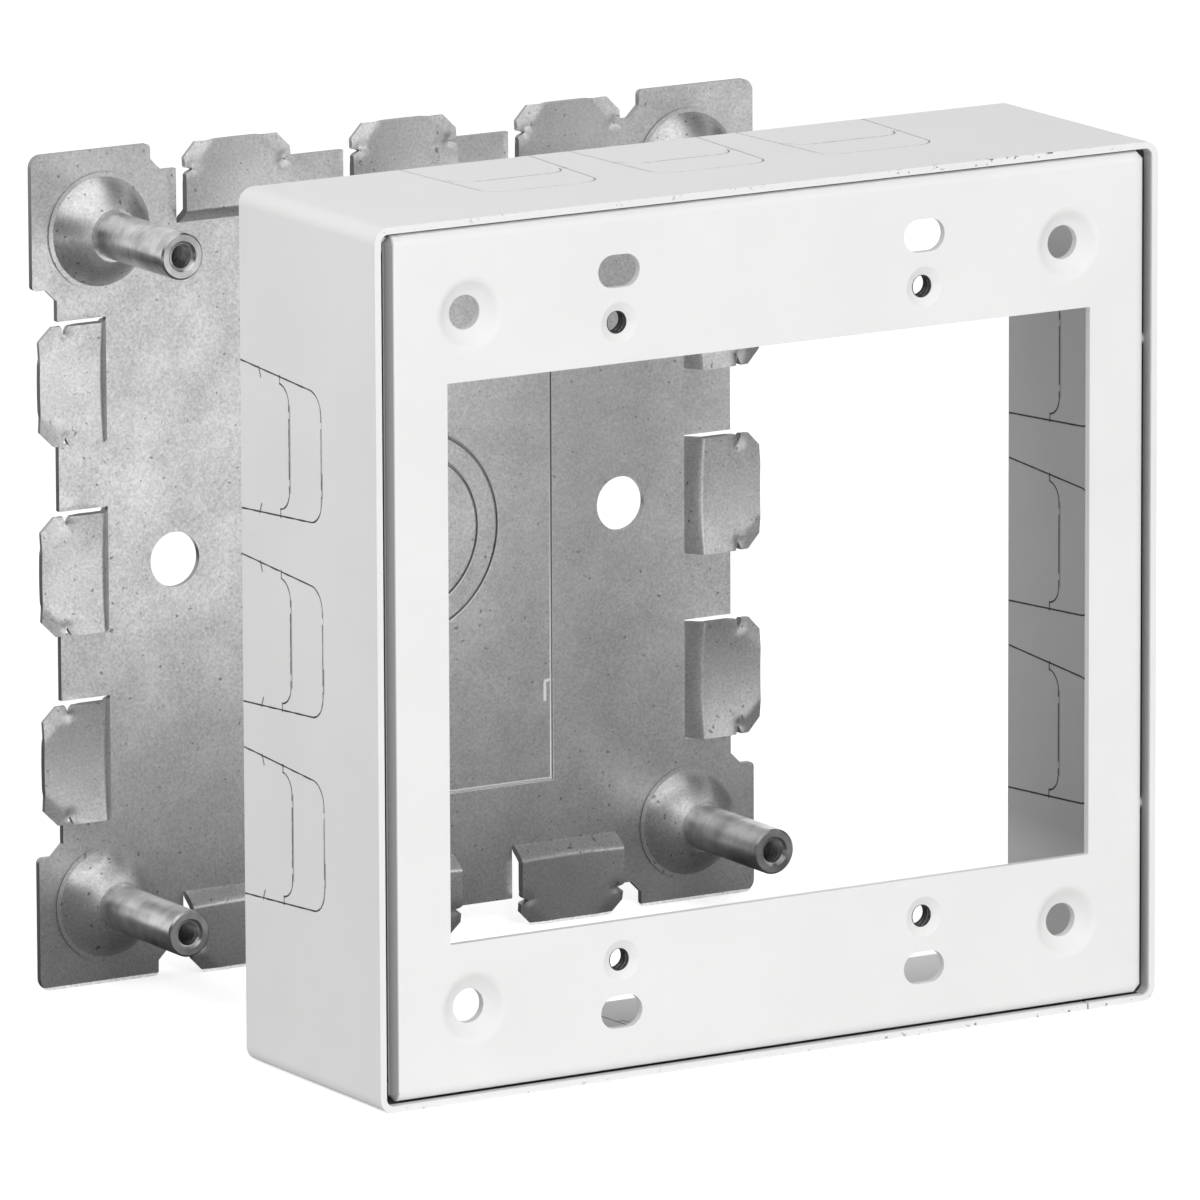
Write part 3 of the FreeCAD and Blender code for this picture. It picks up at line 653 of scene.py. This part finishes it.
def tabSurface():
    # Height is the dished rise times a step that starts steep and eases out, less the ears' bend behind a
    # slanted crease and less a round dent at each notch. The lower face lies one sheet below, along the
    # normal.
    length = tab["root"] + plate["setback"]
    start, bottom, end = (length - distance for distance in tab["notch"])
    pastBend = tab["bendRun"] * 1.2
    chamfered = length - tab["chamfer"]
    stations = np.unique(np.round(np.concatenate([
        np.linspace(0.0, pastBend, 12), np.linspace(pastBend, start, 9), np.linspace(start, bottom, 4),
        np.linspace(bottom, end, 4), np.linspace(end, chamfered, 4), np.linspace(chamfered, length, 7)]), 5))
    full = tab["half"]
    notched = full - tab["notchDeep"]
    half = np.interp(stations, [0.0, start, bottom, end, chamfered, length],
                     [full, full, notched, full, full, full - tab["chamfer"]])
    even = np.linspace(-1.0, 1.0, tab["columns"])
    share = np.sin(even * np.pi / 2) * tab["crowding"] + even * (1 - tab["crowding"])
    u = np.repeat(stations[:, None], len(share), axis=1)
    w = half[:, None] * share[None, :]
    step = np.clip(u / tab["bendRun"], 0.0, 1.0)
    height = (tab["rise"] + tab["dish"] * (w / full) ** 2) * (1 - (1 - step) ** tab["bendEase"])
    past = (u - bottom) * tab["crease"][0] + (np.abs(w) - notched) * tab["crease"][1]
    bent = 0.5 * (past + np.sqrt(past ** 2 + tab["earSoft"] ** 2))
    height -= tab["earBend"] * bent * np.clip(u / start, 0.0, 1.0) ** 4
    away = (u - bottom) ** 2 + (np.abs(w) - notched) ** 2
    height -= tab["dent"] * np.exp(-away / tab["dentReach"])
    upper = np.stack([u, w, height], axis=-1)
    normal = np.cross(np.gradient(upper, axis=0), np.gradient(upper, axis=1))
    normal /= np.linalg.norm(normal, axis=-1, keepdims=True)
    normal[0] = (0.0, 0.0, 1.0)                  # the root stands square on the plate's cut
    lower = upper - normal * plate["sheet"]
    around = np.concatenate([upper, lower[:, ::-1]], axis=1)
    rows, columns = around.shape[:2]
    faces = gridFaces(rows, columns, wrapColumns=True)
    side = np.arange(len(share) - 1)
    cap = np.stack([side, columns - 1 - side, columns - 2 - side, side + 1], axis=1)
    last = (rows - 1) * columns
    faces = np.concatenate([faces, cap, last + cap[:, ::-1]])
    return around.reshape(-1, 3), faces


def tabRows():
    # For each side of the plate: outward and sideways directions, and the distance of the tabs' roots.
    for turn in range(4):
        out = np.array([np.cos(turn * np.pi / 2), np.sin(turn * np.pi / 2)])
        yield out, np.array([-out[1], out[0]]), plate["half"][turn % 2] - plate["setback"] - tab["root"]


def makeTabs():
    local, faces = tabSurface()
    parts = []
    for out, across, root in tabRows():
        for step in (-1, 0, 1):
            flat = out * (root + local[:, :1]) + across * (step * tab["pitch"] + local[:, 1:2])
            points = np.stack([flat[:, 0], -plate["sheet"] - local[:, 2], flat[:, 1]], axis=1)
            parts.append((points, facingOut(points, faces)))
    points, faces = joined(parts)
    finish = finishes["galvanised_sheet"]
    piece = addPiece("entryTabs", points, faces, finish, sharp=tab["sharp"])
    return markCuts(piece, tab["steepest"])


def closeHoles(mesh):
    work = bmesh.new()
    work.from_mesh(mesh)
    bmesh.ops.holes_fill(work, edges=[edge for edge in work.edges if edge.is_boundary], sides=0)
    work.to_mesh(mesh)
    work.free()


def mergedTriangles(source):
    # A mesh's triangles in mm with equal points merged, without those that have no area left.
    points = np.empty(len(source.vertices) * 3)
    source.vertices.foreach_get("co", points)
    source.calc_loop_triangles()
    faces = np.empty(len(source.loop_triangles) * 3, dtype=int)
    source.loop_triangles.foreach_get("vertices", faces)
    kept, back = np.unique(np.round(points.reshape(-1, 3) / mm, 4), axis=0, return_inverse=True)
    faces = back.reshape(-1)[faces].reshape(-1, 3)
    first, second, third = faces.T
    return kept, faces[(first != second) & (second != third) & (third != first)]


def makePlate():
    # The base plate's own triangles without those that lie wholly in one tab. The cuts at the tabs' roots are
    # closed, and the level faces keep their own straight normals.
    points, faces = mergedTriangles(frame["nodes"]["base_plate"].data)
    tabNumber = np.full(len(points), -1)
    for row, (out, across, root) in enumerate(tabRows()):
        away = points[:, [0, 2]] @ out - root
        beside = points[:, [0, 2]] @ across
        for step in (-1, 0, 1):
            aside = np.abs(beside - step * tab["pitch"]) - tab["half"]
            inTab = (away > -plate["slack"]) & (aside < plate["slack"])
            tabNumber[inTab] = 3 * row + step + 1
    first, second, third = tabNumber[faces].T
    faces = faces[(first < 0) | (first != second) | (second != third)]
    finish = finishes["galvanised_sheet"]
    piece = addPiece("plateSheet", points, faces, finish, sharp=plate["sharp"])
    closeHoles(piece.data)
    piece.data.set_sharp_from_angle(angle=np.radians(plate["sharp"]))
    piece.data.polygons.foreach_set("use_smooth", towardsWall(piece.data) < plate["level"])
    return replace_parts(markCuts(piece, 0.15), "base_plate")


makePlate()
makeTabs()

# Cut threads in the posts and in the device holes

threadPitch = 0.79
threadSkin = (0.02, 0.05)            # how far the crests' ring and the plain outer skin stand in the metal
postThread = {"spread": (45.1, 45.1), "start": -22.3, "length": 8.0, "radius": 1.75, "deep": 0.26}
deviceThread = {"spread": (23.02, 41.67), "start": -82.2, "length": 1.85, "radius": 1.5, "deep": 0.2}


def threadSurface(thread):
    # Radius is the bore's less a triangle wave of depth and turn: the wave's place moves one pitch each turn.
    # A plain outer skin just inside the metal closes the ring.
    rows = int(thread["length"] / threadPitch * 10) + 1
    columns = 36
    depth = np.linspace(0.0, thread["length"], rows)[:, None]
    angle = np.linspace(0.0, 2 * np.pi, columns, endpoint=False)[None, :]
    phase = (depth / threadPitch - angle / (2 * np.pi)) % 1.0
    inner = thread["radius"] + threadSkin[0] - thread["deep"] * (1 - np.abs(2 * phase - 1))
    outer = thread["radius"] + threadSkin[1] + 0 * inner
    rings = []
    for radius, along in ((inner, depth), (outer, depth[::-1])):
        rings.append(np.stack([radius * np.cos(angle), along + 0 * radius, radius * np.sin(angle)], axis=-1))
    points = np.concatenate(rings)
    return points.reshape(-1, 3), gridFaces(2 * rows, columns, wrapRows=True, wrapColumns=True)


def makeThreads(name, thread, middle, finish):
    local, faces = threadSurface(thread)
    faces = facingOut(local, faces)
    spreadX, spreadZ = thread["spread"]
    parts = []
    for signX in (-1, 1):
        for signZ in (-1, 1):
            place = (middle[0] + signX * spreadX, thread["start"], middle[1] + signZ * spreadZ)
            parts.append((local + place, faces))
    points, faces = joined(parts)
    return addPiece(name, points, faces, finish, sharp=60.0)


makeThreads("postThreads", postThread, (0.0, 0.0), finishes["plated_post"])
makeThreads("deviceThreads", deviceThread, cover["middle"], bareShadeFinish)

# Sheared outlines of the twist-outs: paint bridges the slit and a thin crack runs through it, filled with a
# near-black bar as painted shade

twist = {
    "shear": 0.25,
    "large": {"reach": 20.5, "mouth": 19.8, "nose": 17.4, "round": 3.0, "frontCrack": 0.11},
    "small": {"reach": 12.4, "mouth": 16.6, "nose": 16.6, "round": 2.6, "frontCrack": 0.24},
    "shoulder": 2.5,
    "nibs": (4.4, 0.8),              # place and width of the nibs on the front line
    "crack": 0.19,
    "crackShare": {"left": 1.0, "right": 1.5, "top": 0.45, "bottom": 1.0},
    "swell": ((0.3, 1.7, 1.0), (0.25, 4.3, 2.0)),      # share, waves along the run and how the start shifts
    "overfill": (1.01, 1.02),        # paint and crack at their widest, as shares of the slit
    "inset": 0.02,
    "paintShare": 0.45,              # the paint's reach into the sheet
    "dip": 0.1,
}
coverDepth = cover["back"] - cover["front"]


def outlinePath(form, cutAt=None):
    # Half an outline as points (across, depth from the front of the cover): a slanted side, a round corner,
    # then the straight front up to its middle. The sharp outline is grown by its radius less half the slit.
    front = coverDepth - form["reach"]
    half = form["nose"] / 2 - form["round"]
    run = form["reach"] + twist["large"]["reach"]
    slope = (form["mouth"] - form["nose"]) / 2 / form["reach"] * run / (run - form["round"])
    lean = np.arctan(slope)
    grown = form["round"] - twist["shear"] / 2
    turn = np.linspace(-lean, -np.pi / 2, 12)
    corner = np.stack([half + grown * np.cos(turn), front + form["round"] + grown * np.sin(turn)], axis=1)
    top = coverDepth if cutAt is None else cutAt
    down = np.linspace(top, corner[0, 1], 18, endpoint=False)
    side = np.stack([corner[0, 0] + (down - corner[0, 1]) * slope, down], axis=1)
    line = np.linspace(half, 0.0, 40)[1:]
    straight = np.stack([line, np.full(len(line), corner[-1, 1])], axis=1)
    return np.concatenate([side, corner, straight])


def wholePath(halfPath):
    return np.concatenate([halfPath, (halfPath * [-1, 1])[-2::-1]])


def smallPath():
    # The small outline ends in two shoulders that run out to the large one's sides.
    form, large = twist["small"], twist["large"]
    level = coverDepth - form["reach"] + twist["shoulder"] - twist["shear"] / 2
    halfPath = outlinePath(form, cutAt=level)
    slope = (large["mouth"] - large["nose"]) / 2 / large["reach"]
    outer = large["mouth"] / 2 - slope * (form["reach"] - twist["shoulder"])
    shoulder = np.linspace(outer, halfPath[0, 0], 8, endpoint=False)
    return wholePath(np.concatenate([np.stack([shoulder, np.full(8, level)], axis=1), halfPath]))


def stripAlong(path, width, low, high, dip=0.0):
    # A bar carried along the path: its sides lie half the width to the left and right, its faces at two
    # depths in the wall, and the middle of the outer face dips.
    way = np.gradient(path, axis=0)
    way /= np.linalg.norm(way, axis=1, keepdims=True)
    side = np.stack([-way[:, 1], way[:, 0]], axis=1) * (np.asarray(width) / 2).reshape(-1, 1)
    edges = [(path + side, low), (path, low + dip), (path - side, low),
             (path - side, high), (path, high), (path + side, high)]
    points = [np.concatenate([edge, np.full((len(path), 1), level)], axis=1) for edge, level in edges]
    caps = np.array([[5, 4, 1, 0], [4, 3, 2, 1]])
    last = (len(path) - 1) * len(edges)
    faces = np.concatenate([gridFaces(len(path), len(edges), wrapColumns=True), caps, last + caps[:, ::-1]])
    return np.stack(points, axis=1).reshape(-1, 3), faces


def onFront(path):
    return np.abs(path[:, 1] - path[:, 1].min()) < 0.01


def insideNibs(path):
    place, width = twist["nibs"]
    return onFront(path) & (np.abs(np.abs(path[:, 0]) - place) < width / 2)


def splitAt(path, gaps):
    # The path's stretches between the marked points.
    marks = np.flatnonzero(np.diff(np.concatenate([[1], gaps.astype(int), [1]])))
    return [path[first:last] for first, last in zip(marks[::2], marks[1::2]) if last - first > 2]


def crackWidth(path, form, wander):
    # The crack's width swells and shrinks along its run.
    run = np.concatenate([[0.0], np.cumsum(np.linalg.norm(np.diff(path, axis=0), axis=1))])
    width = np.where(onFront(path), form["frontCrack"], twist["crack"])
    swell = [share * np.sin(run * waves + shift * wander) for share, waves, shift in twist["swell"]]
    return width * (1.0 + sum(swell))


def onWalls(points, step):
    # The same strip put on all four walls: across the wall, into it and along the depth.
    across, depth, into = points[:, 0] + step * twistPitch, cover["front"] + points[:, 1], points[:, 2]
    middleX, middleZ = cover["middle"]
    halfX, halfZ = cover["half"]
    return {
        "left": np.stack([middleX - halfX + into, depth, middleZ + across], axis=1),
        "right": np.stack([middleX + halfX - into, depth, middleZ + across], axis=1),
        "top": np.stack([middleX + across, depth, middleZ + halfZ - into], axis=1),
        "bottom": np.stack([middleX + across, depth, middleZ - halfZ + into], axis=1),
    }


def makeShearLines():
    fills, cracks = [], []
    forms = [(twist["large"], wholePath(outlinePath(twist["large"]))), (twist["small"], smallPath())]
    paintWidth, crackLimit = (share * twist["shear"] for share in twist["overfill"])
    paintDeep = cover["sheet"] * twist["paintShare"]
    crackDeep = cover["sheet"] - twist["inset"]
    for step in (-1, 0, 1):
        for number, (form, path) in enumerate(forms):
            for stretch in splitAt(path, insideNibs(path)):
                local, faces = stripAlong(stretch, paintWidth, twist["inset"], paintDeep, twist["dip"])
                for points in onWalls(local, step).values():
                    fills.append((points, facingOut(points, faces)))
                width = crackWidth(stretch, form, 1.3 * step + 2.1 * number)
                # the crack bars are near-black painted shade
                for wall, share in twist["crackShare"].items():
                    narrow = np.minimum(width * share, crackLimit)
                    local, faces = stripAlong(stretch, narrow, twist["inset"], crackDeep)
                    points = onWalls(local, step)[wall]
                    cracks.append((points, facingOut(points, faces)))
    points, faces = joined(fills)
    addPiece("slitPaint", points, faces, finishes["white_paint"])
    points, faces = joined(cracks)
    addPiece("slitCrackShade", points, faces, bareShadeFinish)


makeShearLines()

# Floor, light and background

studio = {
    "floorColour": 0.92,
    "floorHalf": 12.0,
    "floorLift": 0.57,                       # extra brightness that only the camera and reflections see
    "ambient": (0.06, 0.62),                 # away from and towards the bright side
    "ambientAngle": (-0.8, 1.0),
    "ambientFrom": (-0.3, -0.7, 0.6),
    "lamps": {                               # place, size and power
        "key": ((-0.25, -2.1, 1.25), 1.1, 25.0),
        "side": ((-0.4, -0.07, 0.32), 0.2, 0.5),
    },
    "cardColour": 0.06,
    "cards": [                               # two ends above the floor, then the way to the far side
        ((-0.45, 0.03, 0.0), (0.14, 0.03, 0.0), (0.0, -0.16, 0.0)),
        ((-0.4, -0.35, 0.0), (-0.4, -0.13, 0.0), (0.32, 0.0, 0.0)),
        ((-0.12, -0.45, 0.0), (-0.12, -0.2, 0.0), (0.16, 0.0, 0.0)),
        ((0.16, 0.45, 0.0), (0.16, -0.5, 0.0), (0.6, 0.0, 0.0)),
        ((0.55, 0.45, 0.0), (0.55, -0.4, 0.0), (0.0, 0.0, 0.45)),
        ((-0.75, 0.4, 0.0), (-0.42, -0.9, 0.0), (0.0, 0.0, 0.4)),
        ((-0.05, 0.03, 0.0), (-0.05, 0.6, 0.0), (-0.6, 0.0, 0.0)),
        ((0.12, -0.5, 0.5), (0.12, 0.15, 0.5), (0.4, 0.0, 0.0)),
    ],
    "cardLift": 0.0004,
}


def seenDirectly(tree):
    light = addNode(tree, "ShaderNodeLightPath")
    seen = math(tree, "ADD", light.outputs["Is Camera Ray"], light.outputs["Is Glossy Ray"])
    return math(tree, "ADD", seen, light.outputs["Is Transmission Ray"], clamp=True)


def flatPanel(name, corners, finish):
    mesh = bpy.data.meshes.new(name)
    mesh.from_pydata([tuple(corner) for corner in corners], [], [(0, 1, 2, 3)])
    mesh.materials.append(finish)
    panel = bpy.data.objects.new(name, mesh)
    bpy.context.scene.collection.objects.link(panel)
    return panel


def makePaper(name, tone, roughness):
    material, tree, shader = newMaterial(name)
    shader.inputs["Base Color"].default_value = (tone, tone, tone, 1.0)
    shader.inputs["Roughness"].default_value = roughness
    return material, tree, shader


def makeFloor():
    low = min(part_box(name)[0].z for name in frame["nodes"])
    half = studio["floorHalf"]
    paper, tree, shader = makePaper("floorPaper", studio["floorColour"], 0.9)
    shader.inputs["Specular IOR Level"].default_value = 0.0
    shader.inputs["Emission Color"].default_value = (1.0, 1.0, 1.0, 1.0)
    lift = math(tree, "MULTIPLY", seenDirectly(tree), studio["floorLift"])
    tree.links.new(lift, shader.inputs["Emission Strength"])
    corners = [(-half, -half, low), (half, -half, low), (half, half, low), (-half, half, low)]
    flatPanel("floor", corners, paper)
    black, tree, shader = makePaper("darkCard", studio["cardColour"], 1.0)
    for number, (start, end, lean) in enumerate(studio["cards"]):      # only reflections see the cards
        foot = np.array([start, end]) + [0.0, 0.0, low + studio["cardLift"]]
        card = flatPanel(f"darkCard{number}", np.concatenate([foot, foot[::-1] + lean]), black)
        card.visible_camera = card.visible_diffuse = card.visible_shadow = card.visible_transmission = False


def makeWorld():
    # Light from a direction falls from its high to its low value with the angle from the bright side.
    world = bpy.data.worlds.new("studio")
    world.use_nodes = True
    tree = world.node_tree
    background = tree.nodes["Background"]
    background.inputs["Color"].default_value = (1.0, 1.0, 1.0, 1.0)
    toward = np.array(studio["ambientFrom"]) / np.linalg.norm(studio["ambientFrom"])
    direction = addNode(tree, "ShaderNodeTexCoord").outputs["Generated"]
    facing = vectorMath(tree, "DOT_PRODUCT", direction, tuple(toward), output="Value")
    ambient = rise(tree, facing, *studio["ambientAngle"], *studio["ambient"])
    seen = seenDirectly(tree)
    unseen = math(tree, "MULTIPLY", math(tree, "SUBTRACT", 1.0, seen), ambient)
    tree.links.new(math(tree, "ADD", seen, unseen), background.inputs["Strength"])
    bpy.context.scene.world = world


def makeLamp(name, place, size, power):
    # The lamp looks at the origin, and reflections don't see it.
    data = bpy.data.lights.new(name, "AREA")
    data.shape = "DISK"
    data.size = size
    data.energy = power
    lamp = bpy.data.objects.new(name, data)
    lamp.location = place
    x, y, z = place
    lamp.rotation_euler = (np.arctan2(np.hypot(x, y), z), 0.0, np.arctan2(x, -y))
    lamp.visible_glossy = False
    bpy.context.scene.collection.objects.link(lamp)


makeFloor()
makeWorld()
for lampName, settings in studio["lamps"].items():
    makeLamp(lampName, *settings)

# Camera

cameraSet = {
    "place": (-0.961755, -1.639683, 0.392661),
    "turn": (78.0489, 0.2265, -31.2581),     # degrees about X, Y, Z
    "lens": 437.215,
    "sensor": 36.0,
    "farthest": 50.0,
}


def makeCamera():
    data = bpy.data.cameras.new("camera")
    data.lens = cameraSet["lens"]
    data.sensor_width = cameraSet["sensor"]
    data.clip_end = cameraSet["farthest"]
    camera = bpy.data.objects.new("camera", data)
    camera.location = cameraSet["place"]
    camera.rotation_euler = Euler(np.radians(cameraSet["turn"]), "XYZ")
    bpy.context.scene.collection.objects.link(camera)
    bpy.context.scene.camera = camera


makeCamera()
bpy.context.scene.view_settings.view_transform = "Standard"
print("camera and light set")
